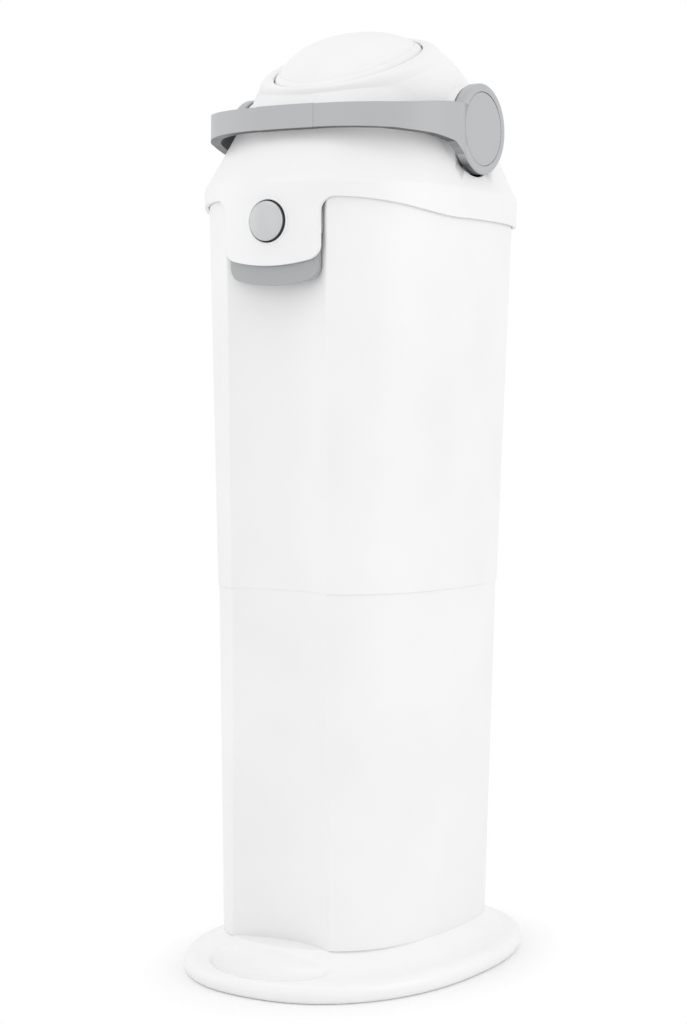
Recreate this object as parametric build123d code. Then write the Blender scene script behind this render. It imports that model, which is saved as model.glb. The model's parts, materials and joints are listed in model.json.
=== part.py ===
from build123d import *
import math
import os

os.makedirs("parts", exist_ok=True)

# ---- driving dimensions, mm ----
foot_half_x = 126.0          # oval foot, half width
foot_half_y = 174.0          # oval foot, half depth
foot_rim_h = 15.0            # height of the rounded rim
foot_top_z = 34.5            # where the foot meets the body
foot_lift = 1.0              # rubber pads stand this far below the foot
foot_wall = 3.0
plug_h = 16.0                # rim of the foot that plugs into the body
toe_half_x = 46.0            # toe hollow in the front of the foot
toe_r = 17.0
toe_deep = 3.0
toe_back = 21.0              # from the front edge to the hollow's middle
rim_in = 4.0                 # roundness of the rim, seen from the side
rim_turn = 62.0              # degrees the rim's profile turns below and above its middle
foot_power = 2.3             # squareness of the foot's outline
instep_x = 18.0              # where the foot's top starts to rise, outside the body
instep_y = 25.0
instep_rise = 5.0
cuff = 3.0                   # the foot's top edge stands this far outside the body
pad_r = 9.0
pad_h = 4.0
pad_x = 60.0
pad_y = 86.0
boss_wall = 2.5
rib_reach = 1.7              # length of the ribs under the foot, in half widths of the body

body_low_x = 94.0            # body at the foot, half width
body_low_y = 131.0
seam_z = 328.0               # joint between the two shells
seam_low_x = 101.0           # lower shell at the joint
seam_low_y = 135.5
shell_step = 0.9             # upper shell stands proud of the lower one
body_top_x = 113.0           # body at its rim
body_top_y = 145.0
body_top_z = 660.0
ledge_drop = 28.0            # bag ledge below the body's rim
oval_power = 2.6             # squareness of the body outline
round_power = 2.15           # squareness near the dome
wall = 2.6
spigot_h = 14.0

hollow_low_half = 48.5       # front hollow, half of its width at the foot
hollow_low_sag = 12.0        # and its depth
hollow_top_half = 50.0
hollow_top_sag = 14.0
corner_round = 3.5           # where the hollow meets the sides
seam_gap = 0.4               # open line between the two shells
floor_t = 3.0
ledge_t = 2.5
ledge_w = 6.0
ring_h = 12.0
ring_gap = 0.3

pivot_z = 718.0              # axis of the drum and handle
dome_r = 94.5                # outside of the dome across the axis
dome_half = 106.0            # outside of the dome along the axis
dome_wall = 2.5
drum_gap = 1.0
mouth_r = 64.0               # opening in the dome
mouth_tilt = 25.0            # degrees the mouth leans forward
bore_r = 60.0
sleeve_wall = 2.5
piston_r = 59.2
piston_len = 62.0            # crown to crown

skirt_gap = 0.5
skirt_wall = 3.0
skirt_top_z = 664.0
skirt_low_z = 641.5          # seam at the sides
skirt_high_z = 653.0         # seam beside the front flap
flank_low_z = 671.0
flank_top_z = 757.0
crown_x = 93.0
crown_y = 83.0
skirt_taper = 1.4            # the skirt draws in this much towards the flap
shoulder_in = 2.6            # turn of the skirt into the shoulder
shoulder_back = 4.2
turn_in = 0.9
turn_back = 1.2
turn_h = 3.5

flap_half = 46.5             # front flap, half width
flap_low_z = 597.0
flap_bow = 7.0               # its lower edge rises this far to the corners
flap_round = 13.0
flap_neck = 12.0             # hollow corner where the flap meets the skirt
flap_return = 5.5            # depth of the flap's turned-in edge
edge_wall = 2.5              # and its thickness
button_z = 633.6
button_r = 16.3
button_gap = 2.0
button_travel = 3.5
button_crown = 3.2           # how far its middle stands proud
button_len = 11.0
button_shell = 2.2
cup_floor_t = 2.0
coil_r = 5.0
wire_r = 0.7
coil_turns = 5
pull_drop = 16.0             # finger pull shows this far below the flap
pull_set_back = 4.0
pull_wall = 4.0
catch_w = 26.0               # catch plate behind the finger pull
catch_h = 14.0
catch_wall = 3.0
catch_over = 8.0             # its middle above the flap's lower edge

disc_r = 38.5
disc_face_x = 119.0
disc_thick = 9.5
strap_proud = 1.2            # strap stands this far outside the discs
strap_room = 6.1             # from the head's front slope to the strap
strap_power = 2.8
strap_thick = 8.0
strap_high_z = 735.5
strap_low_z = 716.5
strap_root_z = 699.0
grip_half = 28.0
grip_skin = 1.6
grip_proud = 0.3             # the grip's skin stands this far outside the strap
grip_fit = 0.05
cap_rim = 7.0                # rim of the disc round its cap
cap_t = 2.0
disc_edge = 1.2
cap_edge = 0.8
hub_wall = 7.0
bolt_r = 2.5
bolt_cap_r = 5.0
bolt_cap_h = 2.8
bolt_seat = 5.0              # bolt's head sits this deep below the disc's face
ear_r = 37.0
ear_wall = 6.0
ear_web = 3.5
ear_x = 96.0
ear_back = 2.0               # from the ear's end to the disc
drum_wall = 3.0
chute_wall = 3.5
chute_len = 30.0
bowl_gap = 5.0               # cradle bowl round the drum
seal_gap = 0.3
deck_t = 3.0
deck_lift = 2.6              # deck above the body's rim
piston_wall = 3.0
key = 8.0                    # width of the piston's two keys
key_gap = 0.6
ring_seal_h = 2.5
ring_seal_in = 26.0          # seal rings from the ends of the piston's middle height
groove_deep = 1.6
trunnion_r = 12.0
trunnion_flange = 6.0
flange_t = 3.0
bush_wall = 3.5
run_gap = 0.06               # radial clearance where a shaft turns
seat_gap = 0.1               # radial gap between fixed pieces

hinge_y = 154.0
hinge_z = 637.0
hinge_pin_r = 3.0
knuckle_r = 6.5
knuckle_len = 22.0
plate_w = 60.0               # bracket plate on the body's back
plate_h = 26.0
plate_t = 4.0
plate_sunk = 0.6             # how far the plate's flat back reaches into the bulge of the body
plate_drop = 22.0            # plate's middle below the hinge axis
lug_h = 14.0
screw_x = 21.0
screw_drop = 24.0
screw_r = 2.0
screw_len = 8.0
screw_cap_r = 4.0
screw_cap_h = 2.0

# ---- sizes that follow from the driving ones ----
deck_z = body_top_z + deck_lift
drum_r = dome_r - dome_wall - drum_gap
drum_half = dome_half - 5.0
drum_cut = ear_x - 1.5
skirt_x = body_top_x + skirt_gap + skirt_wall
skirt_y = body_top_y + skirt_gap + skirt_wall
shoulder_y = skirt_y - shoulder_back
slope = (shoulder_y - crown_y) / (flank_top_z - flank_low_z)
strap_half_x = disc_face_x + strap_proud
strap_half_y = shoulder_y - slope * (strap_low_z - flank_low_z) + strap_room + strap_thick

# ---- helpers ----
def save(shape, name):
    solids = shape if isinstance(shape, list) else [shape]
    export_step(Compound(children=solids), "parts/" + name + ".step")
    print(name, round(sum(s.volume for s in solids)), len(Compound(children=solids).solids()))


def oval(half_x, half_y, z, power=oval_power, count=24):
    points = []
    for i in range(count):
        t = 2 * math.pi * (i + 0.5) / count
        c = math.cos(t)
        s = math.sin(t)
        x = half_x * math.copysign(abs(c) ** (2 / power), c)
        y = half_y * math.copysign(abs(s) ** (2 / power), s)
        points.append((x, y, z))
    return make_face(Spline(*points, periodic=True))


def stack(levels):
    return loft([oval(*level) for level in levels], ruled=True)


def along(height, low, high, z0, z1):
    return low + (high - low) * (height - z0) / (z1 - z0)


def body_x(z):
    if z <= seam_z:
        return along(z, body_low_x, seam_low_x, foot_top_z, seam_z)
    return along(z, seam_low_x + shell_step, body_top_x, seam_z, body_top_z)


def body_y(z):
    if z <= seam_z:
        return along(z, body_low_y, seam_low_y, foot_top_z, seam_z)
    return along(z, seam_low_y + shell_step, body_top_y, seam_z, body_top_z)


def edge_y(x, half_x, half_y, power=oval_power):
    return -half_y * (1 - (x / half_x) ** power) ** (1 / power)


def hollow_arc(z):
    """Centre line and radius of the front hollow at height z."""
    half = along(z, hollow_low_half, hollow_top_half, foot_top_z, body_top_z)
    sag = along(z, hollow_low_sag, hollow_top_sag, foot_top_z, body_top_z)
    half_x = along(z, body_low_x, body_top_x, foot_top_z, body_top_z)
    half_y = along(z, body_low_y, body_top_y, foot_top_z, body_top_z)
    radius = (half ** 2 + sag ** 2) / (2 * sag)
    return edge_y(half, half_x, half_y) + sag - radius, radius


def outline(half_x, half_y, z, inset=0.0, corner=0.0, count=25):
    """Body section with its front hollow, moved inwards by inset, its two corners rounded by corner."""
    half_x = half_x - inset
    half_y = half_y - inset
    centre, radius = hollow_arc(z)
    radius = radius + inset

    def side_at(t):
        c = math.cos(t)
        s = math.sin(t)
        px = half_x * math.copysign(abs(c) ** (2 / oval_power), c)
        py = half_y * math.copysign(abs(s) ** (2 / oval_power), s)
        nx = math.copysign(abs(px / half_x) ** (oval_power - 1) / half_x, px)
        ny = math.copysign(abs(py / half_y) ** (oval_power - 1) / half_y, py)
        size = math.hypot(nx, ny)
        return px, py, px - corner * nx / size, py - corner * ny / size

    low = -0.49 * math.pi
    high = -0.05 * math.pi
    for _ in range(50):
        start = (low + high) / 2
        px, py, cx, cy = side_at(start)
        if math.hypot(cx, cy - centre) < radius + corner:
            low = start
        else:
            high = start
    points = []
    for i in range(count):
        points.append((*side_at(start + (math.pi - 2 * start) * i / (count - 1))[:2], z))
    if not corner:
        return make_face(Spline(*points) + ThreePointArc(points[-1], (0, centre + radius, z), points[0]))
    px, py, cx, cy = side_at(start)
    share = radius / (radius + corner)
    touch = (cx * share, centre + (cy - centre) * share)
    mx = (px + touch[0]) / 2 - cx
    my = (py + touch[1]) / 2 - cy
    tip = (cx + corner * mx / math.hypot(mx, my), cy + corner * my / math.hypot(mx, my))
    right = ThreePointArc((*touch, z), (*tip, z), points[0])
    left = ThreePointArc(points[-1], (-tip[0], tip[1], z), (-touch[0], touch[1], z))
    front = ThreePointArc((-touch[0], touch[1], z), (0, centre + radius, z), (*touch, z))
    return make_face(Spline(*points) + left + front + right)


def tower(levels, inset=0.0, corner=0.0):
    return loft([outline(*level, inset, corner) for level in levels], ruled=True)


def barrel(half_len, radius, cut):
    """Round body about the drum axis, flat at x = +-cut."""
    points = []
    for i in range(25):
        x = cut * math.sin(math.pi * (i / 24 - 0.5))
        points.append((x, 0, radius * math.sqrt(1 - (x / half_len) ** 2)))
    ends = Polyline(points[-1], (cut, 0, 0), (-cut, 0, 0), points[0])
    face = make_face(Spline(*points) + ends)
    return Pos(0, 0, pivot_z) * revolve(face, axis=Axis.X)


def rod(radius, x0, x1, y=0.0, z=pivot_z):
    return Pos((x0 + x1) / 2, y, z) * Rot(0, 90, 0) * Cylinder(radius, abs(x1 - x0))


def other_side(shape):
    return mirror(shape, Plane.YZ)


def tilted(shape):
    return Pos(0, 0, pivot_z) * Rot(mouth_tilt, 0, 0) * shape


def front_block(shape, y0, y1):
    """Shape drawn in X and Z, made solid from y0 to y1."""
    return extrude(Plane(origin=(0, y1, 0), z_dir=(0, -1, 0), x_dir=(1, 0, 0)) * shape, y1 - y0, dir=(0, -1, 0))


def side_block(shape, x0, x1):
    """Shape drawn in Y and Z, made solid from x0 to x1."""
    return extrude(Plane(origin=(x0, 0, 0), z_dir=(1, 0, 0), x_dir=(0, 1, 0)) * shape, x1 - x0, dir=(1, 0, 0))


# ---- foot ----
rim_steps = 8
foot_levels = []
for i in range(rim_steps + 1):
    t = math.radians(rim_turn * (2 * i / rim_steps - 1))
    out = rim_in * (math.cos(t) - 1)
    share = 0.5 + 0.5 * math.sin(t) / math.sin(math.radians(rim_turn))
    level_z = foot_lift + (foot_rim_h - foot_lift) * share
    foot_levels.append((foot_half_x + out, foot_half_y + out, level_z, foot_power))
foot_levels.append((body_low_x + instep_x, body_low_y + instep_y, foot_rim_h + instep_rise, foot_power))
foot_levels.append((body_low_x + cuff, body_low_y + cuff, foot_top_z, oval_power))
under_levels = [(foot_half_x - rim_in - 1.0, foot_half_y - rim_in - 1.0, foot_lift - 1.0, foot_power)]
for half_x, half_y, z, power in foot_levels[rim_steps // 2:]:
    under_levels.append((half_x - foot_wall, half_y - foot_wall, z - foot_wall, power))


def toe_tool(grow):
    """Long rounded hollow for a shoe tip, in the front of the foot."""
    points = []
    for i in range(17):
        t = math.sin(math.pi * (i / 16 - 0.5))
        points.append(((toe_half_x + grow) * t, 0, (toe_r + grow) * math.sqrt(max(0, 1 - t ** 2))))
    face = make_face(Spline(*points) + Line(points[-1], points[0]))
    spot = Pos(0, -foot_half_y + toe_back, foot_rim_h + toe_r - toe_deep)
    return spot * revolve(face, axis=Axis.X)


foot = stack(foot_levels) - (stack(under_levels) - toe_tool(foot_wall))
plug_low = (body_low_x, body_low_y, foot_top_z - 1.0)
plug_high = (body_low_x, body_low_y, foot_top_z + plug_h)
plug = tower([plug_low, plug_high], wall + seat_gap)
plug = plug - tower([(*plug_low[:2], foot_top_z + 0.5), (*plug_high[:2], foot_top_z + plug_h + 1.0)],
                    2 * wall + seat_gap)
foot = foot + plug
pad_spots = [(x, y) for x in (-pad_x, pad_x) for y in (-pad_y, pad_y)]
rib_h = foot_top_z - foot_wall
foot = foot + Pos(0, 0, foot_top_z / 2) * Box(rib_reach * body_low_x, foot_wall, rib_h)
foot = foot + Pos(0, 0, foot_top_z / 2) * Box(foot_wall, rib_reach * body_low_y, rib_h)
boss_top = foot_top_z - 1.0
pads = []
for x, y in pad_spots:
    boss = Cylinder(pad_r + boss_wall, boss_top - foot_lift)
    foot = foot + Pos(x, y, (foot_lift + boss_top) / 2) * boss
    foot = foot - Pos(x, y, 0) * Cylinder(pad_r + seat_gap, 2 * pad_h)
    pads.append(Pos(x, y, pad_h / 2) * Cylinder(pad_r, pad_h))
foot = foot - toe_tool(0.0)
save(foot, "foot")
save(pads, "foot_pads")

# ---- body shells ----
low = (body_low_x, body_low_y)
mid = (seam_low_x, seam_low_y)
upper_mid = (seam_low_x + shell_step, seam_low_y + shell_step)
rim = (body_top_x, body_top_y)
floor_z = foot_top_z + plug_h + seat_gap
lower = tower([(*low, foot_top_z), (*mid, seam_z)], corner=corner_round)
lower_room = tower([(*low, floor_z + floor_t), (*mid, seam_z + 1.0)], wall)
lower_skirt = tower([(*low, foot_top_z - 1.0), (*low, floor_z)], wall)
lower = lower - lower_room - lower_skirt
save(lower, "lower_shell")

upper = tower([(*upper_mid, seam_z + seam_gap), (*rim, body_top_z)], corner=corner_round)
tip = (body_x(seam_z - spigot_h), body_y(seam_z - spigot_h))
spigot = tower([(*tip, seam_z - spigot_h), (*mid, seam_z), (*mid, seam_z + 3.0)], wall + seat_gap)
upper = upper - tower([(*upper_mid, seam_z - 1.0), (*rim, body_top_z + 1.0)], wall)
spigot = spigot - tower([(*tip, seam_z - spigot_h - 1.0), (*tip, seam_z + 4.0)], 2 * wall + seat_gap)
shoulder = tower([(*upper_mid, seam_z + seam_gap), (*upper_mid, seam_z + 3.0)], 1.0)
shoulder = shoulder - tower([(*tip, seam_z - 1.0), (*tip, seam_z + 4.0)], 2 * wall + seat_gap)
upper = upper + shoulder + spigot

# ledge inside the rim that carries the bag ring
ledge_z = body_top_z - ledge_drop
at_ledge = (body_x(ledge_z), body_y(ledge_z))
ledge = tower([(*at_ledge, ledge_z), (*at_ledge, ledge_z + ledge_t)], 1.0)
ledge = ledge - tower([(*at_ledge, ledge_z - 1.0), (*at_ledge, ledge_z + 2 * ledge_t)], ledge_w + wall)
upper = upper + ledge
ring_z = ledge_z + ledge_t
ring = tower([(*at_ledge, ring_z), (*at_ledge, ring_z + ring_h)], wall + ring_gap)
ring = ring - tower([(*at_ledge, ring_z - 1.0), (*at_ledge, ring_z + ring_h + 1.0)], 2 * wall + ring_gap)
save(ring, "bag_ring")

# ---- rear hinge ----
pin_half = 1.5 * knuckle_len + 1.0
back_y = body_y(hinge_z - plate_drop - lug_h / 2 - 1.0)
plate = Pos(0, back_y + plate_t / 2 - plate_sunk, hinge_z - plate_drop) * Box(plate_w, plate_t, plate_h)
lug = Pos(0, (back_y + hinge_y) / 2, hinge_z - 11.0) * Box(knuckle_len, hinge_y - back_y, lug_h)
bracket = plate + lug + rod(knuckle_r, -knuckle_len / 2, knuckle_len / 2, hinge_y, hinge_z)
bracket = bracket - rod(hinge_pin_r + seat_gap / 2, -pin_half, pin_half, hinge_y, hinge_z)
bracket = bracket - tower([(*upper_mid, seam_z), (*rim, body_top_z)])
save(rod(hinge_pin_r, -pin_half, pin_half, hinge_y, hinge_z), "hinge_pin")
screws = []
screw_face = back_y + plate_t - plate_sunk
screw_z = hinge_z - screw_drop
for x in (-screw_x, screw_x):
    axis_spot = Pos(x, screw_face - screw_len / 2, screw_z) * Rot(90, 0, 0)
    shank = axis_spot * Cylinder(screw_r, screw_len)
    cap = Pos(x, screw_face + screw_cap_h / 2, screw_z) * Rot(90, 0, 0) * Cylinder(screw_cap_r, screw_cap_h)
    slot = Pos(x, screw_face + screw_cap_h, screw_z) * Box(5.0, 1.4, 1.0)
    screws.append(shank + cap - slot)
    bore = axis_spot * Cylinder(screw_r + seat_gap / 2, 1.5 * screw_len)
    bracket = bracket - bore
    upper = upper - bore
save(bracket, "hinge_bracket")
save(screws, "hinge_screws")
save(upper, "upper_shell")

# ---- catch plate in the body hollow, behind the finger pull ----
catch_z = flap_low_z + catch_over
catch_centre, catch_radius = hollow_arc(catch_z)
catch_y = catch_centre + catch_radius
catch = Pos(0, catch_y - 2.0, catch_z) * Box(catch_w, 8.0, catch_h)
catch_room = Box(catch_w - 8.0, 7.0, catch_h - 2 * catch_wall)
catch = catch - Pos(0, catch_y - 5.0, catch_z) * catch_room
behind = [catch_z - catch_w, catch_z + catch_w]
catch = catch - tower([(body_x(z), body_y(z), z) for z in behind])
save(catch, "catch_plate")

# ---- head housing ----
skirt_foot_z = flap_low_z - 40.0
head_levels = [
    (skirt_x - skirt_taper, skirt_y - skirt_taper, skirt_foot_z, oval_power),
    (skirt_x, skirt_y, skirt_top_z, oval_power),
    (skirt_x - turn_in, skirt_y - turn_back, skirt_top_z + turn_h, oval_power),
    (skirt_x - shoulder_in, shoulder_y, flank_low_z, oval_power),
    (crown_x, crown_y, flank_top_z, round_power),
]


def head_stack(inset, top=1.2):
    levels = [(hx - inset, hy - inset, z, p) for hx, hy, z, p in head_levels[:-1]]
    levels[0] = (*levels[0][:2], skirt_foot_z - inset, oval_power)
    levels.append((crown_x - top * inset, crown_y - top * inset, flank_top_z - inset, round_power))
    return stack(levels)


head_out = head_stack(0.0)
head_in = head_stack(skirt_wall)
dome_out = barrel(dome_half, dome_r, dome_half - 2.0)
dome_in = barrel(dome_half - 3.5, dome_r - dome_wall, ear_x)
mouth = tilted(Pos(0, 0, dome_r) * Cylinder(mouth_r, 1.2 * dome_r))
rise = skirt_high_z - skirt_low_z
seam_curve = Spline((-20.0, skirt_low_z), (-60.0, skirt_low_z + 0.13 * rise), (-90.0, skirt_low_z + 0.5 * rise),
                    (-113.0, skirt_low_z + 0.8 * rise), (-135.0, skirt_high_z))
seam_rest = Polyline((-135.0, skirt_high_z), (-200.0, skirt_high_z), (-200.0, pivot_z + 120.0),
                     (200.0, pivot_z + 120.0), (200.0, skirt_low_z), (-20.0, skirt_low_z))
top_zone = side_block(make_face(seam_curve + seam_rest), -200.0, 200.0)


def flap_shape(inset, drop=0.0, neck=True):
    """Outline of the front flap, moved inwards by inset and down by drop."""
    half = flap_half - inset
    low = flap_low_z - drop + inset
    corner_z = low + flap_bow
    top_edge = Polyline((half, corner_z), (half, skirt_high_z), (half + 25.0, skirt_high_z),
                        (half + 25.0, skirt_top_z), (-half - 25.0, skirt_top_z),
                        (-half - 25.0, skirt_high_z), (-half, skirt_high_z), (-half, corner_z))
    if not neck:
        top_edge = Polyline((half, corner_z), (half, skirt_top_z), (-half, skirt_top_z), (-half, corner_z))
    shape = make_face(top_edge + ThreePointArc((-half, corner_z), (0, low), (half, corner_z)))
    shape = Sketch() + shape
    low_pair = shape.vertices().sort_by(Axis.Y)[:2]
    shape = fillet(low_pair, flap_round)
    if neck:
        inner = [v for v in shape.vertices()
                 if abs(v.Y - skirt_high_z) < 0.01 and abs(abs(v.X) - half) < 0.01]
        shape = fillet(inner, flap_neck + inset)
    return shape


flap_zone = front_block(flap_shape(0.0), -200.0, -80.0)
housing = (head_out - head_in) & (top_zone + flap_zone)
housing = housing + ((dome_out - Pos(0, 0, pivot_z - 60.0) * Box(300, 300, 120.0)) - head_in)
housing = housing - dome_in
ear = rod(ear_r, ear_x, disc_face_x - disc_thick - ear_back)
ear = ear - rod(ear_r - ear_wall, ear_x + ear_web, disc_face_x)
pocket = rod(disc_r + ear_back, disc_face_x - disc_thick - ear_back + 0.5, disc_face_x + disc_thick)
housing = housing - pocket - other_side(pocket)
ear_room = rod(ear_r - ear_wall, ear_x + ear_web, disc_face_x)
housing = housing - ear_room - other_side(ear_room)
housing = housing + ear + other_side(ear)
hole = rod(trunnion_r + bush_wall + seat_gap / 2, -disc_face_x, disc_face_x)
housing = housing - hole - mouth
# turned-in edge of the front flap
edge_zone = front_block(flap_shape(0.2, neck=False) - flap_shape(edge_wall, neck=False), -200.0, -80.0)
edge_zone = edge_zone - Pos(0, -150.0, skirt_top_z) * Box(200, 200, 2 * (skirt_top_z - skirt_high_z + 6.0))
edge_zone = edge_zone - Pos(0, -150.0, flap_low_z) * Box(200, 200, 4 * flap_round)
rolled = (head_stack(1.0) - head_stack(flap_return)) & edge_zone
housing = housing + rolled
# socket for the button
button_face_y = edge_y(0.0, skirt_x, skirt_y) + 0.4
socket_r = button_r + button_gap
housing = housing - Pos(0, button_face_y, button_z) * Rot(90, 0, 0) * Cylinder(socket_r, 20.0)
save(housing, "head_housing")

# ---- cradle, chute and seals under the drum ----
bowl_in = barrel(drum_half + bowl_gap, drum_r + bowl_gap, drum_cut + bowl_gap)
bowl_out = barrel(drum_half + bowl_gap + deck_t, drum_r + bowl_gap + deck_t, drum_cut + 8.0)
deck_high_x = skirt_x - skirt_wall - turn_in * (deck_z + deck_t - skirt_top_z) / turn_h
deck_high_y = skirt_y - skirt_wall - turn_back * (deck_z + deck_t - skirt_top_z) / turn_h
deck = stack([(skirt_x - skirt_wall - seat_gap, skirt_y - skirt_wall - seat_gap, deck_z, oval_power),
              (skirt_x - skirt_wall - seat_gap, skirt_y - skirt_wall - seat_gap, skirt_top_z, oval_power),
              (deck_high_x - seat_gap, deck_high_y - seat_gap, deck_z + deck_t, oval_power)])
deck = deck + (bowl_out - Pos(0, 0, deck_z + 1.0 + dome_r) * Box(3 * dome_r, 3 * dome_r, 2 * dome_r))
chute = tilted(Pos(0, 0, -drum_r + 3.0) * Cylinder(mouth_r + chute_wall, chute_len + 22.0))
deck = (deck - bowl_in) + (chute - barrel(drum_half + 4.5, drum_r + 4.5, drum_cut + 4.5))
deck = deck - tilted(Pos(0, 0, -drum_r) * Cylinder(mouth_r, 2 * chute_len + 60.0))
save(deck, "chute_deck")
lip = tilted(Pos(0, 0, -drum_r + 20.0) * Cylinder(mouth_r + chute_wall, 40.0))
lip = lip & (barrel(drum_half + 4.4, drum_r + 4.4, drum_cut + 4.4) - barrel(
    drum_half + seal_gap, drum_r + seal_gap, drum_cut + seal_gap))
lip = lip - tilted(Pos(0, 0, -drum_r) * Cylinder(mouth_r, 3 * chute_len + 60.0))
save(lip, "chute_seal")
rim_seal = tower([(*((body_top_x, body_top_y)), body_top_z + 0.2),
                  (*((body_top_x, body_top_y)), deck_z)], 0.3)
rim_seal = rim_seal - tower([(body_top_x, body_top_y, body_top_z - 1.0),
                             (body_top_x, body_top_y, deck_z + 1.0)], wall + 1.5)
save(rim_seal, "rim_seal")

# ---- bushes the drum turns in ----
bushes = []
bush = rod(trunnion_r + bush_wall, ear_x - 0.6, ear_x + ear_web + 2.0)
bush = bush - rod(trunnion_r + run_gap, 0.0, disc_face_x)
save([bush, other_side(bush)], "bushes")

# ---- drum ----
drum_out = barrel(drum_half, drum_r, drum_cut)
drum = drum_out - barrel(drum_half - drum_wall, drum_r - drum_wall, drum_cut - drum_wall)
drum = drum - tilted(Cylinder(bore_r + sleeve_wall + seat_gap / 2, 4 * drum_r))
drum = drum - rod(trunnion_r + seat_gap / 2, -disc_face_x, disc_face_x)
save(drum, "drum")
stroke = 2 * drum_r - piston_len
sleeve = tilted(Cylinder(bore_r + sleeve_wall, 2 * drum_r)) & drum_out
sleeve = sleeve - tilted(Cylinder(bore_r, 4 * drum_r))
slot_len = stroke + key + key_gap
sleeve = sleeve - tilted(Box(4 * bore_r, key + key_gap, slot_len))
save(sleeve, "bore_sleeve")
drum_side = drum_cut - drum_wall
stub_end = disc_face_x - bolt_seat - 2.0
stub = rod(trunnion_r, drum_side - flange_t, stub_end)
stub = stub + rod(trunnion_r + trunnion_flange, drum_side - flange_t - seat_gap, drum_side - seat_gap)
stub = stub - rod(bolt_r + seat_gap / 2, ear_x + 2.0, disc_face_x)
save([stub, other_side(stub)], "trunnions")

# ---- piston ----
piston_spot = drum_r - piston_len / 2
lifted = Pos(0, stroke * -math.sin(math.radians(mouth_tilt)), stroke * math.cos(math.radians(mouth_tilt)))
hull = tilted(Pos(0, 0, piston_spot) * Cylinder(piston_r, piston_len)) & drum_out
low_face = lifted * drum_out
full = hull & low_face
room = tilted(Pos(0, 0, 0) * Cylinder(piston_r - piston_wall, 4 * drum_r))
room = room & barrel(drum_half - piston_wall, drum_r - piston_wall, drum_cut - piston_wall)
piston = full - room
for side in (-1, 1):
    lug_spot = side * (piston_r + sleeve_wall + 0.5)
    piston = piston + tilted(Pos(lug_spot, 0, piston_spot) * Box(2 * sleeve_wall + 3.0, key, key))
groove_at = piston_len / 2 - ring_seal_in
band_r = bore_r - run_gap
seals = []
for step in (-groove_at, groove_at):
    middle = Pos(0, 0, piston_spot + step)
    groove = middle * Cylinder(piston_r + 1.0, ring_seal_h + seat_gap)
    groove = groove - middle * Cylinder(piston_r - groove_deep, 2 * ring_seal_h)
    piston = piston - tilted(groove)
    band = middle * Cylinder(band_r, ring_seal_h)
    seals.append(tilted(band - middle * Cylinder(piston_r - groove_deep + seat_gap / 2, 2 * ring_seal_h)))
save(piston, "piston")
save(seals, "piston_seals")
inner_low = lifted * barrel(drum_half - piston_wall, drum_r - piston_wall, drum_cut - piston_wall)
cover = tilted(Pos(0, 0, piston_spot - piston_len / 4) * Cylinder(
    piston_r - piston_wall - seat_gap / 2, piston_len / 2)) & low_face
cover = cover - inner_low
save(cover, "piston_cover")

# ---- handle ----
band_z0 = strap_root_z - 12.0
band_z1 = strap_high_z + 12.0


def strap_ring(grow, thick):
    outer = stack([(strap_half_x + grow, strap_half_y + grow, z, strap_power) for z in (band_z0, band_z1)])
    inner = stack([(strap_half_x + grow - thick, strap_half_y + grow - thick, z, strap_power)
                   for z in (band_z0 - 1.0, band_z1 + 1.0)])
    return outer - inner


def strap_side(grow):
    low = strap_low_z - grow
    high = strap_high_z + grow
    root_y = -disc_r + 6.0
    edge = Polyline((-strap_half_y - 4.0, low), (-strap_half_y - 4.0, high), (-0.5 * strap_half_y, high + 1.0),
                    (root_y, high + 1.0), (root_y, strap_root_z - 5.0), (root_y - 6.0, strap_root_z),
                    (root_y - 12.0, strap_root_z + 4.5), (-0.56 * strap_half_y, low - 6.5),
                    (-0.8 * strap_half_y, low - 1.5), (-strap_half_y - 4.0, low))
    return side_block(make_face(edge), -strap_half_x - 4.0, strap_half_x + 4.0)


strap = strap_ring(0.0, strap_thick) & strap_side(0.0)
grip_zone = Pos(0, -strap_half_y, pivot_z) * Box(2 * grip_half, 60.0, 80.0)
core = strap_ring(-grip_skin, strap_thick - 2 * grip_skin) & strap_side(-grip_skin)
strap = (strap - grip_zone) + (core & (Pos(0, -strap_half_y, pivot_z) * Box(2 * grip_half + 2, 60.0, 80.0)))
grip = (strap_ring(grip_proud, strap_thick + 2 * grip_proud) & strap_side(grip_proud)) & grip_zone
grip_in = grip_fit - grip_skin
grip = grip - (strap_ring(grip_in, strap_thick + 2 * grip_in) & strap_side(grip_in))
cap_r = disc_r - cap_rim
hub_r = trunnion_r + hub_wall
disc = Pos(disc_face_x - disc_thick / 2, 0, pivot_z) * Rot(0, 90, 0) * Cylinder(disc_r, disc_thick)
disc = chamfer(disc.edges(), disc_edge)
hub = rod(hub_r, ear_x + ear_web + 2.3, disc_face_x - disc_thick + 1.0)
disc = disc + hub
handle = strap + disc + other_side(disc)
for side in (1, -1):
    cuts = rod(trunnion_r + seat_gap / 2, side * ear_x, side * (stub_end + seat_gap))
    cuts = cuts + rod(bolt_r + seat_gap / 2, side * ear_x, side * disc_face_x)
    cuts = cuts + rod(bolt_cap_r + 0.6, side * (disc_face_x - bolt_seat - 0.5), side * disc_face_x)
    cuts = cuts + rod(cap_r + seat_gap, side * (disc_face_x - cap_t), side * (disc_face_x + 5.0))
    handle = handle - cuts
save(handle, "handle")
save(grip, "grip")
cap = Pos(disc_face_x - cap_t / 2, 0, pivot_z) * Rot(0, 90, 0) * Cylinder(cap_r, cap_t)
cap = chamfer(cap.faces().sort_by(Axis.X)[-1].edges(), cap_edge)
save([cap, other_side(cap)], "disc_caps")
bolt_face = disc_face_x - bolt_seat - 0.4 + bolt_cap_h
screw = rod(bolt_r, ear_x + 4.0, disc_face_x - bolt_seat) + rod(bolt_cap_r, bolt_face - bolt_cap_h, bolt_face)
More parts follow.
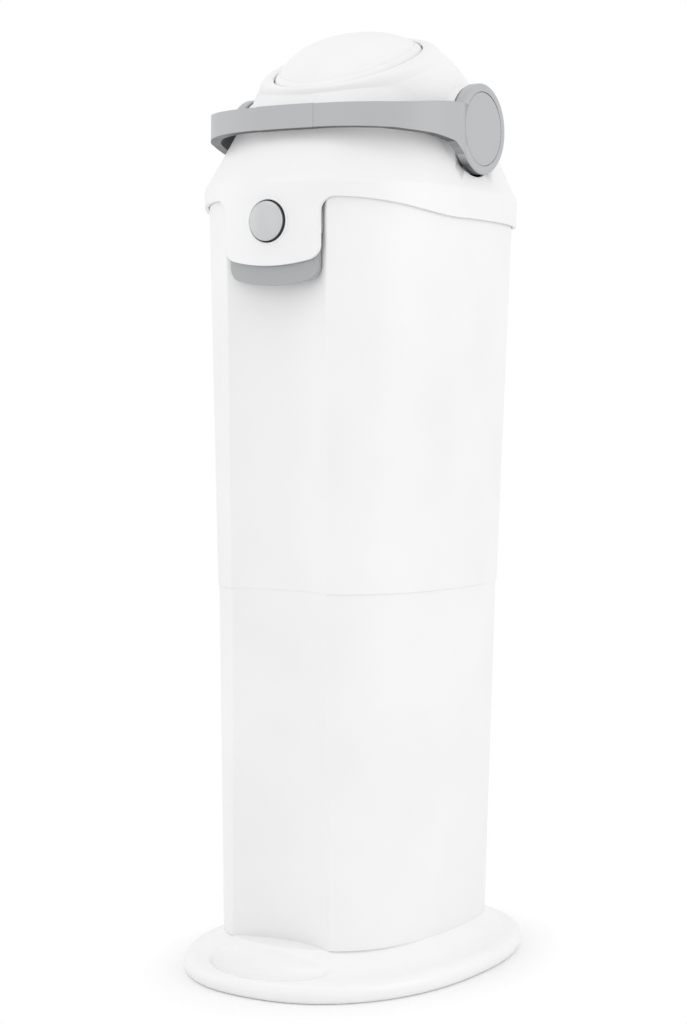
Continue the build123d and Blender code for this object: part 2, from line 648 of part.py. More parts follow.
screw = screw - Pos(bolt_face, 0, pivot_z) * Box(1.6, 6.0, 1.4)
save([screw, other_side(screw)], "handle_screws")

# ---- button ----
button_y = button_face_y - button_crown
cup_floor_y = hollow_arc(button_z)[0] + hollow_arc(button_z)[1] - 4.5
front = Rot(90, 0, 0)
ball_r = (button_r ** 2 + button_crown ** 2) / (2 * button_crown) + 6.0


def crown_at(radius):
    return button_y + ball_r - math.sqrt(ball_r ** 2 - radius ** 2)


rim_y = crown_at(button_r)
back_y = button_y + button_len
button_edge = Polyline((button_r, rim_y), (button_r, back_y), (button_r - button_shell, back_y),
                       (button_r - button_shell, rim_y + button_shell), (0, rim_y + button_shell), (0, button_y))
button_face = ThreePointArc((0, button_y), (button_r / 2, crown_at(button_r / 2)), (button_r, rim_y))
button = Pos(0, 0, button_z) * revolve(make_face(button_edge + button_face), axis=Axis.Y)
stem_end = cup_floor_y - cup_floor_t - button_travel - 0.6
stem_y = rim_y + button_shell - 0.5
stem = Pos(0, (stem_y + stem_end) / 2, button_z) * front * Cylinder(3.0, stem_end - stem_y)
button = button + stem
save(button, "button")
cup_front = button_face_y + 3.0
cup_r = socket_r - seat_gap
cup = Pos(0, (cup_front + cup_floor_y) / 2, button_z) * front * Cylinder(cup_r, cup_floor_y - cup_front)
cup = cup - Pos(0, cup_front + (cup_floor_y - cup_front) / 2 - cup_floor_t, button_z) * front * Cylinder(
    button_r + 0.3, cup_floor_y - cup_front)
save(cup, "button_cup")
coil_y0 = rim_y + button_shell + wire_r + 0.1
coil_y1 = cup_floor_y - cup_floor_t - wire_r - 0.1
pitch = (coil_y1 - coil_y0) / coil_turns
path = Helix(pitch=pitch, height=coil_y1 - coil_y0, radius=coil_r)
wire_face = Plane(origin=path @ 0, z_dir=path % 0) * Circle(wire_r)
coil = sweep(wire_face, path=path, is_frenet=True)
coil = Pos(0, coil_y0, button_z) * Rot(-90, 0, 0) * coil
print("button spring, least gap between turns", round(pitch - 2 * wire_r, 2))
save(coil, "button_spring")

# ---- finger pull ----
pull_inset = edge_wall + 0.3
arm_w = 6.0
pull_top = flap_low_z + 12.0
arm_top = flap_low_z + 44.0
pull_half = flap_half - pull_inset
shape = flap_shape(pull_inset, pull_drop + pull_inset, neck=False)
shape = shape - Pos(0, arm_top + 50.0) * Rectangle(200.0, 100.0)
shape = shape - Pos(0, pull_top + 50.0) * Rectangle(2 * (pull_half - arm_w), 100.0)
pull = (head_stack(pull_set_back) - head_stack(pull_set_back + pull_wall)) & front_block(shape, -200.0, -80.0)
lip_zone = flap_shape(pull_inset, pull_drop + pull_inset, neck=False)
lip_zone = lip_zone - flap_shape(pull_inset + edge_wall, pull_drop + pull_inset, neck=False)
lip_zone = lip_zone & (Pos(0, flap_low_z - pull_drop) * Rectangle(200.0, 2 * (pull_drop - 2.0)))
tray = (head_stack(pull_set_back) - head_stack(pull_set_back + 1.2 * pull_wall)) & front_block(
    lip_zone, -200.0, -80.0)
pull = pull + tray
save(pull, "finger_pull")

# ---- hinge leaf on the head ----
leaf_low = hinge_z + knuckle_r + 3.0
half_pin = 1.5 * knuckle_len + 0.5
leaf = Pos(0, skirt_y + 1.2, (leaf_low + skirt_top_z - 1.0) / 2) * Box(
    2 * half_pin, 6.0, skirt_top_z - 1.0 - leaf_low)
for side in (-1, 1):
    spot = side * (knuckle_len + 0.5)
    leaf = leaf + rod(knuckle_r, spot - knuckle_len / 2, spot + knuckle_len / 2, hinge_y, hinge_z)
    leaf = leaf + Pos(spot, hinge_y - 3.2, (hinge_z + leaf_low + 1.0) / 2) * Box(
        knuckle_len, 6.4, leaf_low + 1.0 - hinge_z)
leaf = leaf - rod(hinge_pin_r + run_gap, -pin_half, pin_half, hinge_y, hinge_z) - head_out
save(leaf, "hinge_leaf")
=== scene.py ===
import json
import math

import bmesh
import bpy
from mathutils import Matrix, Vector


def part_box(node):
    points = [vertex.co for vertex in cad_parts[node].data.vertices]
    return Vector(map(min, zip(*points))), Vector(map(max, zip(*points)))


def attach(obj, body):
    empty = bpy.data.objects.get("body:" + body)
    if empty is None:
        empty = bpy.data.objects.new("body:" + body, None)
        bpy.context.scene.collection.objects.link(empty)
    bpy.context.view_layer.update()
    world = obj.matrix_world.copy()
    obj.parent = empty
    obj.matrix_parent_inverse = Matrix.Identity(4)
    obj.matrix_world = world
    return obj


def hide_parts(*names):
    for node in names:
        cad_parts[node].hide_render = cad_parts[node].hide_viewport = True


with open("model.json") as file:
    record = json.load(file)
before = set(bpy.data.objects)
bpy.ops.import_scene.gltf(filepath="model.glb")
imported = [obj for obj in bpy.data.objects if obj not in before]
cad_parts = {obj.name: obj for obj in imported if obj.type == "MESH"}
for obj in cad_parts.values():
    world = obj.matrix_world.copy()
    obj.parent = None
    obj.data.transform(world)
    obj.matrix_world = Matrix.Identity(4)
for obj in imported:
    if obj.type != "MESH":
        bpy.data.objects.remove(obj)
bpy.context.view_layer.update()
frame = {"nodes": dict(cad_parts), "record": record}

# ---- camera, metres and picture points ----
PICTURE_LONG = 1024          # the photograph's long side
FOCAL_POINTS = 2205.6        # focal length in picture points
SENSOR = 36.0                # long side of the camera's sensor in millimetres
AZIMUTH = 31.98              # degrees the camera stands to the right of the front
CAMERA_AWAY = 1.9358         # from the bin's upright axis
CAMERA_HIGH = 0.4964
AIM_ACROSS = -0.0083         # radians the camera looks to the right of the axis
AIM_DOWN = 0.0093            # radians the camera looks down
ROLL = -0.54                 # degrees about the line of sight
LENS_SHIFT = -0.1            # the lens looks lower by this share of the long side

# ---- light ----
SKY_LEVEL = 0.94
FLOOR_HALF = 9.0
FLOOR_SHADE = 0.92
FLOOR_OVAL = (7.94, 5.75, 0)  # one over the foot's half width and half depth
FLOOR_FADE = (0.92, 1.32)    # where the floor fades into the white, in sizes of the foot
LAMPS = [                    # name, place, aim, size and power
    ("right_lamp", (2.8, 0.3, 1.2), (0, 0, 0.40), 2.2, 12.0),
    ("front_lamp", (-0.3, -3.0, 0.8), (0, 0, 0.35), 2.2, 3.6),
    ("top_lamp", (-0.5, -1.0, 2.4), (0, 0, 0.50), 1.2, 3.2),
    ("left_lamp", (-2.8, -1.4, 1.0), (0, 0, 0.40), 2.2, 6.0)]

# ---- finishes ----
WHITE = (0.86, 0.86, 0.865)
HEAD_WHITE = (0.86, 0.86, 0.868)
SILVER = (0.44, 0.45, 0.46)
STEEL_DARK = (0.50, 0.50, 0.51)
STEEL_LIGHT = (0.64, 0.64, 0.65)
DRIFT = 0.02                 # share by which the shade of a moulding drifts
DRIFT_SCALE = 9.0
DRIFT_ENDS = (0.3, 0.7)      # stretch of the slow noise over which it drifts
GLOSS_SPREAD = 0.04          # the roughness drifts this far to either side
GRAIN_SCALE = 900.0
GRAIN_DEEP = 0.0004
COAT_ROUGH = 0.12


def nodes_of(material):
    material.use_nodes = True
    tree = material.node_tree
    return tree.nodes, tree.links, tree.nodes["Principled BSDF"]


def add_node(nodes, kind, **inputs):
    node = nodes.new(kind)
    for name, value in inputs.items():
        node.inputs[name.replace("_", " ")].default_value = value
    return node


def varied(nodes, links, shader, pattern, colours, roughness, ends=(0.0, 1.0)):
    """Takes colour and roughness from one pattern, each between two values."""
    shade = nodes.new("ShaderNodeValToRGB")
    for stop, position, colour in zip(shade.color_ramp.elements, ends, colours):
        stop.position = position
        stop.color = (*colour, 1)
    links.new(pattern.outputs["Fac"], shade.inputs["Fac"])
    links.new(shade.outputs["Color"], shader.inputs["Base Color"])
    gloss = add_node(nodes, "ShaderNodeMapRange", To_Min=roughness[0], To_Max=roughness[1])
    links.new(pattern.outputs["Fac"], gloss.inputs["Value"])
    links.new(gloss.outputs["Result"], shader.inputs["Roughness"])


def moulded(name, colour, rough, dent=0.05, coat=0.0):
    """Moulded plastic: a slow drift of shade, a fine moulded grain and a breath of uneven gloss."""
    material = bpy.data.materials.new(name)
    nodes, links, shader = nodes_of(material)
    place = nodes.new("ShaderNodeTexCoord")
    slow = add_node(nodes, "ShaderNodeTexNoise", Scale=DRIFT_SCALE, Detail=2.0)
    fine = add_node(nodes, "ShaderNodeTexNoise", Scale=GRAIN_SCALE, Detail=3.0)
    for noise in (slow, fine):
        links.new(place.outputs["Object"], noise.inputs["Vector"])
    darker = [part * (1 - DRIFT) for part in colour]
    lighter = [min(1.0, part * (1 + DRIFT)) for part in colour]
    varied(nodes, links, shader, slow, (darker, lighter), (rough - GLOSS_SPREAD, rough + GLOSS_SPREAD), DRIFT_ENDS)
    bump = add_node(nodes, "ShaderNodeBump", Strength=dent, Distance=GRAIN_DEEP)
    links.new(fine.outputs["Fac"], bump.inputs["Height"])
    links.new(bump.outputs["Normal"], shader.inputs["Normal"])
    shader.inputs["Coat Weight"].default_value = coat
    shader.inputs["Coat Roughness"].default_value = COAT_ROUGH
    return material


def turned_steel(name):
    """Plain steel with faint turning marks."""
    material = bpy.data.materials.new(name)
    nodes, links, shader = nodes_of(material)
    place = nodes.new("ShaderNodeTexCoord")
    marks = add_node(nodes, "ShaderNodeTexNoise", Scale=400.0, Detail=4.0)
    links.new(place.outputs["Object"], marks.inputs["Vector"])
    varied(nodes, links, shader, marks, (STEEL_DARK, STEEL_LIGHT), (0.22, 0.42))
    shader.inputs["Metallic"].default_value = 1.0
    return material


finishes = {
    "white_plastic": moulded("satin_white_body", WHITE, 0.34),
    "white_head": moulded("satin_white_head", HEAD_WHITE, 0.32),
    "inner_plastic": moulded("plain_inner_white", (0.70, 0.70, 0.71), 0.5),
    "silver_grey": moulded("silver_grey_handle", SILVER, 0.38, dent=0.08, coat=0.1),
    "pull_grey": moulded("grey_finger_pull", (0.39, 0.40, 0.405), 0.42, dent=0.08),
    "dark_plastic": moulded("dark_inner_plastic", (0.05, 0.05, 0.055), 0.5),
    "seal_rubber": moulded("soft_grey_seal", (0.16, 0.165, 0.17), 0.6, dent=0.15),
    "pad_rubber": moulded("grey_foot_pad", (0.12, 0.12, 0.125), 0.7, dent=0.2),
    "steel": turned_steel("plain_steel"),
}
slot_of = {part["node"]: part["material_slot"] for part in frame["record"]["subparts"]}
for node, thing in frame["nodes"].items():
    thing.data.materials.clear()
    thing.data.materials.append(finishes[slot_of[node]])


# ---- what the shaped pieces share ----
def finished(bm, name, body, finish, replaced=(), sharp=40.0):
    """Makes a bmesh in the part's own place a piece that rides on a body, sharp where its faces turn this far."""
    bmesh.ops.remove_doubles(bm, verts=bm.verts, dist=1e-6)
    bmesh.ops.recalc_face_normals(bm, faces=bm.faces)
    for face in bm.faces:
        face.smooth = True
    mesh = bpy.data.meshes.new(name)
    bm.to_mesh(mesh)
    bm.free()
    mesh.set_sharp_from_angle(angle=math.radians(sharp))
    mesh.materials.append(finish)
    piece = bpy.data.objects.new(name, mesh)
    bpy.context.scene.collection.objects.link(piece)
    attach(piece, body)
    if replaced:
        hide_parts(*replaced)


def edges_in(found):
    return [part for part in found if isinstance(part, bmesh.types.BMEdge)]


def copy_of(node):
    """A copy of a CAD piece's mesh, with its faces joined at their corners."""
    bm = bmesh.new()
    bm.from_mesh(frame["nodes"][node].data)
    bmesh.ops.remove_doubles(bm, verts=bm.verts, dist=1e-6)
    return bm


def cut_off(bm, spot, out):
    """Cuts away what lies beyond a plane and closes the cut."""
    cut = bmesh.ops.bisect_plane(bm, geom=bm.verts[:] + bm.edges[:] + bm.faces[:], dist=1e-6,
                                 plane_co=spot, plane_no=out, clear_outer=True)
    bmesh.ops.triangle_fill(bm, use_beauty=True, edges=edges_in(cut["geom_cut"]), normal=out)


def between(a, b, c, d, t):
    """A value between b and c, on the smooth curve that also runs through a and d."""
    return 0.5 * (2 * b + (c - a) * t + (2 * a - 5 * b + 4 * c - d) * t ** 2 + (3 * b - a - 3 * c + d) * t ** 3)


def eased(points, steps):
    """A smooth line through points of any width, with steps short parts between two of them."""
    line = []
    for i in range(len(points) - 1):
        near = [points[min(max(k, 0), len(points) - 1)] for k in range(i - 1, i + 3)]
        for k in range(steps):
            line.append(tuple(between(*values, k / steps) for values in zip(*near)))
    line.append(points[-1])
    return line


def ringed(levels, square, segments):
    """Skin of stacked oval rings of (half width, half depth, height), open at both ends, and its two end rings."""
    bm = bmesh.new()
    turn = bm.verts.layers.float.new("turn")
    ring = bmesh.ops.create_circle(bm, segments=segments, radius=1.0)["verts"]
    for vert in ring:
        vert[turn] = math.atan2(vert.co.y, vert.co.x)
    first = last = bm.edges[:]
    for step, (half_x, half_y, height) in enumerate(levels):
        if step:
            grown = bmesh.ops.extrude_edge_only(bm, edges=last)["geom"]
            ring = [part for part in grown if isinstance(part, bmesh.types.BMVert)]
            last = edges_in(grown)
        for vert in ring:
            across, back = math.cos(vert[turn]), math.sin(vert[turn])
            vert.co.x = half_x * math.copysign(abs(across) ** (2 / square), across)
            vert.co.y = half_y * math.copysign(abs(back) ** (2 / square), back)
            vert.co.z = height
    return bm, first, last


def turned(profile, closed=True):
    """Profile of (radius, height) points spun about the upright axis."""
    bm = bmesh.new()
    line = [bm.verts.new((radius, 0, height)) for radius, height in profile]
    pairs = list(zip(line, line[1:]))
    if closed:
        pairs.append((line[-1], line[0]))
    for pair in pairs:
        bm.edges.new(pair)
    bmesh.ops.spin(bm, geom=bm.verts[:] + bm.edges[:], cent=(0, 0, 0), axis=(0, 0, 1), angle=math.tau,
                   steps=96, use_merge=True)
    bmesh.ops.remove_doubles(bm, verts=bm.verts, dist=1e-6)
    return bm


def leaned(bm, degrees, spot):
    """Leans a piece forward, so that its top faces the front at 90 degrees, and puts it in place."""
    bmesh.ops.rotate(bm, verts=bm.verts, cent=(0, 0, 0), matrix=Matrix.Rotation(math.radians(degrees), 3, "X"))
    bmesh.ops.translate(bm, verts=bm.verts, vec=spot)
    return bm


# ---- foot ----
FOOT_SIDE = [  # half width, half depth and height of the foot's surface, from its lower edge to the body
    (0.1170, 0.1650, 0.0003), (0.1222, 0.1702, 0.0004), (0.1246, 0.1726, 0.0027), (0.1260, 0.1740, 0.0075),
    (0.1253, 0.1733, 0.0118), (0.1232, 0.1712, 0.0147), (0.1190, 0.1665, 0.0168), (0.1130, 0.1590, 0.0188),
    (0.1075, 0.1520, 0.0215), (0.1030, 0.1455, 0.0252), (0.0995, 0.1400, 0.0292), (0.0968, 0.1350, 0.0326),
    (0.0950, 0.1322, 0.0345)]
FOOT_HALF_X = 0.126
FOOT_HALF_Y = 0.174
FOOT_SQUARE = 2.3            # power of its oval, squarer than an ellipse
FOOT_WALL = 0.0028
TOE_HALF = 0.057             # toe hollow, half width
TOE_MIDDLE = 0.0215          # from the foot's front edge
TOE_REACH = 0.0165           # half of its depth from front to back
TOE_DEEP = 0.0066
TOE_ROUND = 0.6              # power of its side, steep at the edge and flat in the middle
TOE_BACK = 0.3               # its surface moves back by this share of how far it sinks
TOE_LOW = 0.012              # the foot's rim below this height stays whole
RIB_WALL = 0.003             # two crossed ribs underneath
RIB_LONG = (0.160, 0.222)    # across, and from front to back
RIB_MIDDLE, RIB_HIGH = 0.0172, 0.0316
BOSS_AT = (0.060, 0.086)     # from the middle, across and from front to back
BOSS_RADIUS = 0.0115
BOSS_MIDDLE, BOSS_HIGH = 0.0185, 0.029


def press_toe_hollow(bm):
    """Sinks a shallow oval for the toe into the front of the foot."""
    for vert in bm.verts:
        level = abs(vert.co.y / FOOT_HALF_Y) ** FOOT_SQUARE + abs(vert.co.x / FOOT_HALF_X) ** FOOT_SQUARE
        inward = FOOT_HALF_Y * (1 - level ** (1 / FOOT_SQUARE))
        rise = 1 - (vert.co.x / TOE_HALF) ** 2 - ((inward - TOE_MIDDLE) / TOE_REACH) ** 2
        if vert.co.y < 0 and rise > 0 and vert.co.z > TOE_LOW:
            vert.co.z -= TOE_DEEP * rise ** TOE_ROUND
            vert.co.y += TOE_BACK * TOE_DEEP * rise ** TOE_ROUND


def foot():
    """One flowing moulding: rolled rim, smooth instep and toe hollow, hollow underneath with ribs and bosses."""
    bm, _, top = ringed(eased(FOOT_SIDE, 5), FOOT_SQUARE, 320)
    press_toe_hollow(bm)
    bmesh.ops.contextual_create(bm, geom=top)
    bmesh.ops.recalc_face_normals(bm, faces=bm.faces)
    bmesh.ops.solidify(bm, geom=bm.faces[:] + bm.edges[:] + bm.verts[:], thickness=FOOT_WALL)
    for wide, deep in ((RIB_LONG[0], RIB_WALL), (RIB_WALL, RIB_LONG[1])):
        bar = Matrix.Translation((0, 0, RIB_MIDDLE)) @ Matrix.Diagonal((wide, deep, RIB_HIGH, 1))
        bmesh.ops.create_cube(bm, size=1.0, matrix=bar)
    for across in (-BOSS_AT[0], BOSS_AT[0]):
        for back in (-BOSS_AT[1], BOSS_AT[1]):
            bmesh.ops.create_cone(bm, cap_ends=True, segments=48, radius1=BOSS_RADIUS, radius2=BOSS_RADIUS,
                                  depth=BOSS_HIGH, matrix=Matrix.Translation((across, back, BOSS_MIDDLE)))
    finish = moulded("glossy_foot_white", (0.88, 0.88, 0.883), 0.24, dent=0.02, coat=0.2)
    finished(bm, "foot_moulding", "bin", finish, ["foot"], sharp=50.0)


foot()


# ---- button, outlines of (radius, height in front of its edge) ----
BUTTON_AT = (0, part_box("button")[0][1], 0.6336)
BUTTON_DOME = [(0, 0.0042), (0.0050, 0.0040), (0.0100, 0.0033), (0.0138, 0.0022), (0.0156, 0.0010)]
BUTTON_SHELL = [(0.0163, 0.0001), (0.0165, -0.0012), (0.0165, -0.0105), (0.0141, -0.0105), (0.0141, -0.0035),
                (0, -0.0035)]
# profile of the dark ring of painted shade in the button's gap
BUTTON_GAP = [(0.0160, -0.0095), (0.0167, -0.0095), (0.0167, -0.0003), (0.0160, -0.0001)]
BUTTON_LIP = [(0.0175, -0.0060), (0.0175, -0.0026), (0.0178, -0.0021), (0.0184, -0.0019), (0.0191, -0.0021),
              (0.0194, -0.0026), (0.0194, -0.0060)]


def button():
    """Domed button, its side in the gap in dark plastic as painted shade, and the rolled lip of the flap round it.
    """
    domed = moulded("domed_button_grey", (0.56, 0.57, 0.58), 0.24, dent=0.02, coat=0.5)
    cap = leaned(turned(eased(BUTTON_DOME, 4) + BUTTON_SHELL, closed=False), 90, BUTTON_AT)
    finished(cap, "button_dome", "button", domed, ["button"], sharp=45.0)
    side = leaned(turned(BUTTON_GAP), 90, BUTTON_AT)
    # painted shade: dark plastic on the button's side stands in for the shadow in its gap
    finished(side, "button_painted_gap_shade", "button", finishes["dark_plastic"], sharp=45.0)
    lip = leaned(turned(BUTTON_LIP), 90, BUTTON_AT)
    finished(lip, "button_lip", "head", finishes["white_head"], sharp=45.0)


button()

# ---- mouth, lid and drum, heights along the mouth's axis from the drum's pivot ----
PIVOT = (0, 0, 0.718)
TILT = 25.0                  # degrees the mouth leans forward
HEAD_CUT = 0.0655            # where the copies are cut off square
DRUM_CUT = 0.0630
SLEEVE_CUT = 0.0655
PISTON_CUT = 0.0620
DRUM_RADIUS = 0.0910
DRUM_END = 0.1010            # half length of the drum's barrel
DRUM_SKIN = 0.004            # only what lies this near its surface is drawn in
DRUM_DRAW = 0.007            # and by this much at most
DRUM_CORE = 0.02             # least distance from the axis that the drawing in is shared over
MOUTH_SIDE = [  # half width, half depth and height of the rolled lip, from its inner wall to the dome
    (0.0661, 0.0661, 0.0638), (0.0661, 0.0661, 0.0659), (0.0665, 0.0665, 0.0669), (0.0677, 0.0675, 0.0673),
    (0.0727, 0.0687, 0.0673), (0.0775, 0.0705, 0.0657), (0.0808, 0.0726, 0.0625), (0.0832, 0.0745, 0.0588),
    (0.0858, 0.0768, 0.0548)]
BALL = 0.0993                # the lid's ball, and how far its middle lies below the pivot
BALL_DROP = 0.0093
BORE = 0.0598
LID_GAP = 0.0001             # between the lid and the band round it
LID_LOW = 0.060              # the lid's underside
LID_RINGS = [0.057, 0.054] + [0.050 - 0.004 * k for k in range(12)] + [0.003, 0]
BAND_IN = 0.0602
BAND_OUT = 0.0652
BAND_FOOT = [(BAND_IN, 0.0642), (BAND_IN, 0.0675), (BORE, 0.0685)]
BAND_RINGS = [BORE, 0.0605, 0.0613, 0.0622, 0.0632, 0.0642]
BAND_EDGE = 0.0649           # its rounded outer edge, a little lower than the ball
BAND_EDGE_DROP = 0.0004
BAND_WALL = [(BAND_OUT, 0.0645), (BAND_OUT, 0.0632), (0.0640, 0.0632)]
FULLER = 0.008               # lid and band are fuller across than from front to back
FULLER_AT = 0.060            # by that much this far from the middle
FULLER_LOW = 0.0601          # above this height


def ball(radius):
    """Height of the lid's ball this far from the mouth's axis."""
    return math.sqrt(BALL ** 2 - radius ** 2) - BALL_DROP


def rounder(bm):
    """Draws the drum's barrel in towards a globe, so that it clears the mouth's lip."""
    for vert in bm.verts:
        side = Vector((0, vert.co.y - PIVOT[1], vert.co.z - PIVOT[2]))
        barrel = DRUM_RADIUS * math.sqrt(max(0.0, 1 - (vert.co.x / DRUM_END) ** 2))
        if side.length > barrel - DRUM_SKIN:
            globe = math.sqrt(max(0.0, DRUM_RADIUS ** 2 - vert.co.x ** 2))
            side *= 1 - min(barrel - globe, DRUM_DRAW) / max(side.length, DRUM_CORE)
            vert.co.y, vert.co.z = PIVOT[1] + side.y, PIVOT[2] + side.z


def fuller(bm):
    """Raises the faces of the lid and its band towards their sides, and less towards the band's outer edge."""
    for vert in bm.verts:
        share = 1 - (vert.co.x ** 2 + vert.co.y ** 2) / BAND_OUT ** 2
        if abs(vert.co.z) > FULLER_LOW and share > 0:
            vert.co.z += math.copysign(FULLER, vert.co.z) * (vert.co.x / FULLER_AT) ** 2 * share


def trimmed(node, heights, name, body, shape=None):
    """A copy of a CAD piece, cut off square to the mouth's axis at these heights and closed again."""
    bm = copy_of(node)
    axis = Matrix.Rotation(math.radians(TILT), 3, "X") @ Vector((0, 0, 1))
    for height in heights:
        cut_off(bm, Vector(PIVOT) + axis * height, axis * math.copysign(1, height))
    if shape:
        shape(bm)
    slot = slot_of[node]
    finished(bm, name, body, finishes[slot], [node], sharp=30.0)


def at_mouth(bm, name, body):
    """Makes a piece of a bmesh that was drawn about the upright axis, set in the mouth."""
    finished(leaned(bm, TILT, PIVOT), name, body, finishes["white_head"], sharp=50.0)


def mouth_lip():
    skin, inner, outer = ringed(eased(MOUTH_SIDE, 4), 2.0, 160)
    bmesh.ops.bridge_loops(skin, edges=inner + outer)
    at_mouth(skin, "mouth_lip", "head")


def lid():
    """The piston's end that closes the mouth, a piece of a ball."""
    edge = BORE - LID_GAP
    bm = turned([(0, LID_LOW), (edge, LID_LOW)] + [(radius, ball(radius)) for radius in [edge] + LID_RINGS],
                closed=False)
    fuller(bm)
    at_mouth(bm, "lid", "piston")


def bore_bands():
    """Rounded bands at both ends of the drum's bore."""
    face = [(radius, ball(radius)) for radius in BAND_RINGS]
    edge = [(BAND_EDGE, ball(BAND_EDGE) - BAND_EDGE_DROP)]
    for name, end in (("bore_band", 1), ("bore_band_far", -1)):
        bm = turned(BAND_FOOT + face + edge + BAND_WALL)
        fuller(bm)
        bmesh.ops.scale(bm, verts=bm.verts, vec=(1, 1, end))
        at_mouth(bm, name, "drum")


trimmed("head_housing", [HEAD_CUT], "head_moulding", "head")
trimmed("drum", [DRUM_CUT, -DRUM_CUT], "drum_moulding", "drum", rounder)
trimmed("bore_sleeve", [SLEEVE_CUT, -SLEEVE_CUT], "bore_tube", "drum")
trimmed("piston", [PISTON_CUT], "piston_moulding", "piston")
mouth_lip()
lid()
bore_bands()

# ---- handle ----
STRAP_DROP = 0.0044          # the strap hangs this much lower in front
EASE_START = 0.038           # the drop is eased in from here, in front of the discs
EASE_LONG = 0.070
# painted shade: a dark grey stands in for the shadow on the strap's inner side and under its lower edge
PAINTED_SHADE_GREY = (0.07, 0.07, 0.075)
SHADE_FROM, SHADE_TO = -0.055, -0.090  # how squarely a face looks inwards, where the painted shade starts and is full
DOWN_SHARE = 0.12            # what a face that looks down adds to the painted shade


def lowered(node, name, finish):
    """A copy of a handle piece whose front hangs a little lower, eased in behind the front."""
    bm = copy_of(node)
    for vert in bm.verts:
        share = min(1.0, max(0.0, (-vert.co.y - EASE_START) / EASE_LONG))
        vert.co.z -= STRAP_DROP * share * share * (3 - 2 * share)
    finished(bm, name, "drum", finish, [node], sharp=14.0)


def painted_inner_shade(material):
    """Darkens what faces the bin's axis or the floor with painted shade: the strap's inner side and lower edge."""
    nodes, links, shader = nodes_of(material)
    place = nodes.new("ShaderNodeTexCoord")
    flat = nodes.new("ShaderNodeVectorMath")
    flat.operation = "MULTIPLY_ADD"
    flat.inputs[1].default_value = (1, 1, 0)
    flat.inputs[2].default_value = (0, 0, DOWN_SHARE)
    links.new(place.outputs["Object"], flat.inputs[0])
    facing = nodes.new("ShaderNodeVectorMath")
    facing.operation = "DOT_PRODUCT"
    links.new(flat.outputs["Vector"], facing.inputs[0])
    links.new(place.outputs["Normal"], facing.inputs[1])
    shade_mask = add_node(nodes, "ShaderNodeMapRange", From_Min=SHADE_FROM, From_Max=SHADE_TO)
    links.new(facing.outputs["Value"], shade_mask.inputs["Value"])
    mix = nodes.new("ShaderNodeMix")
    mix.data_type = "RGBA"
    mix.inputs["B"].default_value = (*PAINTED_SHADE_GREY, 1)
    links.new(shade_mask.outputs["Result"], mix.inputs["Factor"])
    links.new(shader.inputs["Base Color"].links[0].from_socket, mix.inputs["A"])
    links.new(mix.outputs["Result"], shader.inputs["Base Color"])
    return material


# the handle's material carries painted shade on its inner side and lower edge
handle_finish = painted_inner_shade(moulded("handle_grey_painted_shade", SILVER, 0.36, dent=0.08, coat=0.1))
lowered("handle", "handle_moulding", handle_finish)
lowered("grip", "grip_sleeve", handle_finish)

# ---- line between the two shells ----
SEAM_LOW, SEAM_HIGH = 0.3258, 0.3279
SEAM_SIZE = 0.9992           # the band lies this much inside the shell's surface
SEAM_LIFT = 0.00045


def seam_band():
    """A slice of the lower shell that fills most of the gap to the upper one, so that only a thin line shows."""
    bm = copy_of("lower_shell")
    for height, up in ((SEAM_LOW, -1), (SEAM_HIGH, 1)):
        cut_off(bm, (0, 0, height), (0, 0, up))
    bmesh.ops.scale(bm, verts=bm.verts, vec=(SEAM_SIZE, SEAM_SIZE, 1))
    bmesh.ops.translate(bm, verts=bm.verts, vec=(0, 0, SEAM_LIFT))
    finished(bm, "seam_band", "bin", finishes["white_plastic"])


seam_band()


# ---- studio ----
def mixed(nodes, links, share, one, other, output):
    """Sends a mix of two shaders to the output's surface."""
    pick = nodes.new("ShaderNodeMixShader")
    links.new(share, pick.inputs["Fac"])
    links.new(one.outputs[0], pick.inputs[1])
    links.new(other.outputs[0], pick.inputs[2])
    links.new(pick.outputs[0], nodes[output].inputs["Surface"])


def faded_floor():
    """White to the camera outside an oval round the foot, and a plain pale floor for everything else."""
    material = bpy.data.materials.new("pale_floor")
    nodes, links, shader = nodes_of(material)
    shader.inputs["Base Color"].default_value = (FLOOR_SHADE, FLOOR_SHADE, FLOOR_SHADE, 1)
    shader.inputs["Roughness"].default_value = 0.9
    shader.inputs["Specular IOR Level"].default_value = 0.1
    place = nodes.new("ShaderNodeTexCoord")
    oval = nodes.new("ShaderNodeVectorMath")
    oval.operation = "MULTIPLY"
    oval.inputs[1].default_value = FLOOR_OVAL
    links.new(place.outputs["Object"], oval.inputs[0])
    reach = nodes.new("ShaderNodeVectorMath")
    reach.operation = "LENGTH"
    links.new(oval.outputs["Vector"], reach.inputs[0])
    fade = add_node(nodes, "ShaderNodeMapRange", From_Min=FLOOR_FADE[0], From_Max=FLOOR_FADE[1])
    links.new(reach.outputs["Value"], fade.inputs["Value"])
    path = nodes.new("ShaderNodeLightPath")
    seen = nodes.new("ShaderNodeMath")
    seen.operation = "MULTIPLY"
    links.new(path.outputs["Is Camera Ray"], seen.inputs[0])
    links.new(fade.outputs["Result"], seen.inputs[1])
    white = add_node(nodes, "ShaderNodeEmission", Strength=1.0)
    mixed(nodes, links, seen.outputs["Value"], shader, white, "Material Output")
    return material


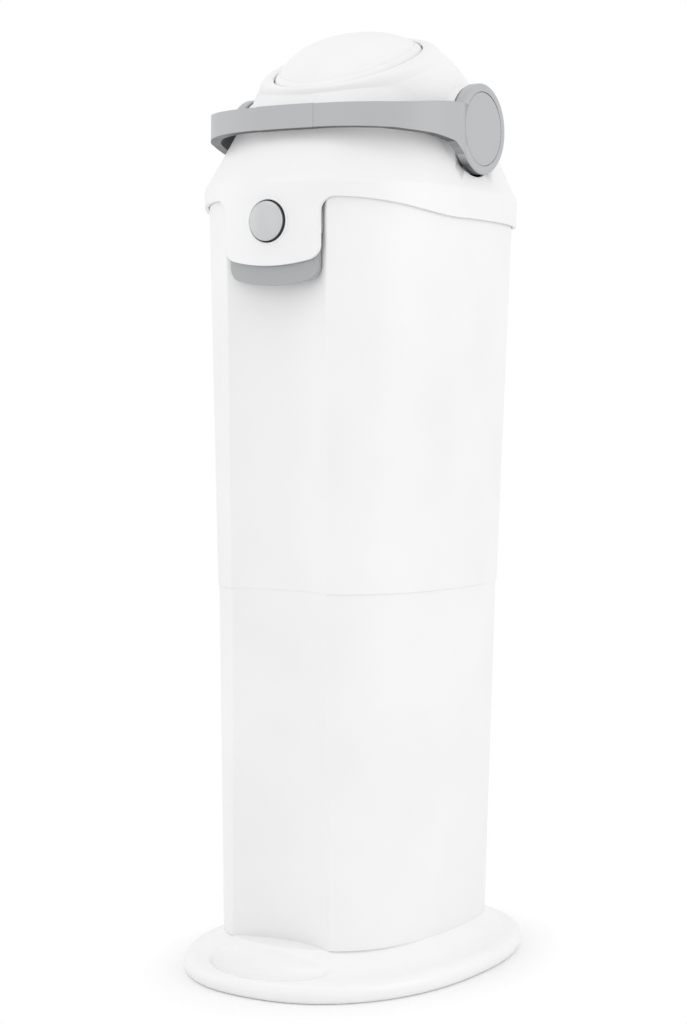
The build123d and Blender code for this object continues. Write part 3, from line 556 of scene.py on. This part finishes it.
def lay_floor():
    mesh = bpy.data.meshes.new("floor")
    corners = [(-1, -1), (1, -1), (1, 1), (-1, 1)]
    mesh.from_pydata([(FLOOR_HALF * x, FLOOR_HALF * y, 0) for x, y in corners], [], [(0, 1, 2, 3)])
    floor = bpy.data.objects.new("floor", mesh)
    bpy.context.scene.collection.objects.link(floor)
    mesh.materials.append(faded_floor())


def light_sky():
    """White to the camera, and a little under white for the light that it gives."""
    world = bpy.data.worlds.new("studio_sky")
    bpy.context.scene.world = world
    world.use_nodes = True
    nodes, links = world.node_tree.nodes, world.node_tree.links
    sky = nodes["Background"]
    sky.inputs["Color"].default_value = (1, 1, 1, 1)
    sky.inputs["Strength"].default_value = SKY_LEVEL
    white = add_node(nodes, "ShaderNodeBackground", Color=(1, 1, 1, 1), Strength=1.0)
    path = nodes.new("ShaderNodeLightPath")
    mixed(nodes, links, path.outputs["Is Camera Ray"], sky, white, "World Output")


def soft_lamp(name, spot, aim, size, power):
    light = bpy.data.lights.new(name, "AREA")
    light.size = size
    light.energy = power
    lamp = bpy.data.objects.new(name, light)
    lamp.location = spot
    lamp.rotation_euler = (Vector(aim) - Vector(spot)).to_track_quat("-Z", "Y").to_euler()
    bpy.context.scene.collection.objects.link(lamp)


lay_floor()
light_sky()
for lamp in LAMPS:
    soft_lamp(*lamp)


# ---- camera ----
def place_camera():
    turn = math.radians(AZIMUTH)
    right = Vector((math.cos(turn), math.sin(turn), 0))
    ahead = Vector((-math.sin(turn), math.cos(turn), 0))
    spot = -CAMERA_AWAY * ahead
    spot.z = CAMERA_HIGH
    data = bpy.data.cameras.new("camera")
    data.sensor_width = SENSOR
    data.lens = FOCAL_POINTS * SENSOR / PICTURE_LONG
    data.clip_end = 50.0
    data.shift_y = LENS_SHIFT
    look = (ahead * math.cos(AIM_ACROSS) + right * math.sin(AIM_ACROSS)) * math.cos(AIM_DOWN)
    look.z = -math.sin(AIM_DOWN)
    camera = bpy.data.objects.new("camera", data)
    camera.rotation_mode = "QUATERNION"
    roll = Matrix.Rotation(math.radians(ROLL), 4, look).to_quaternion()
    camera.rotation_quaternion = roll @ look.to_track_quat("-Z", "Y")
    camera.location = spot
    bpy.context.scene.collection.objects.link(camera)
    bpy.context.scene.camera = camera


place_camera()
bpy.context.scene.view_settings.view_transform = "Standard"
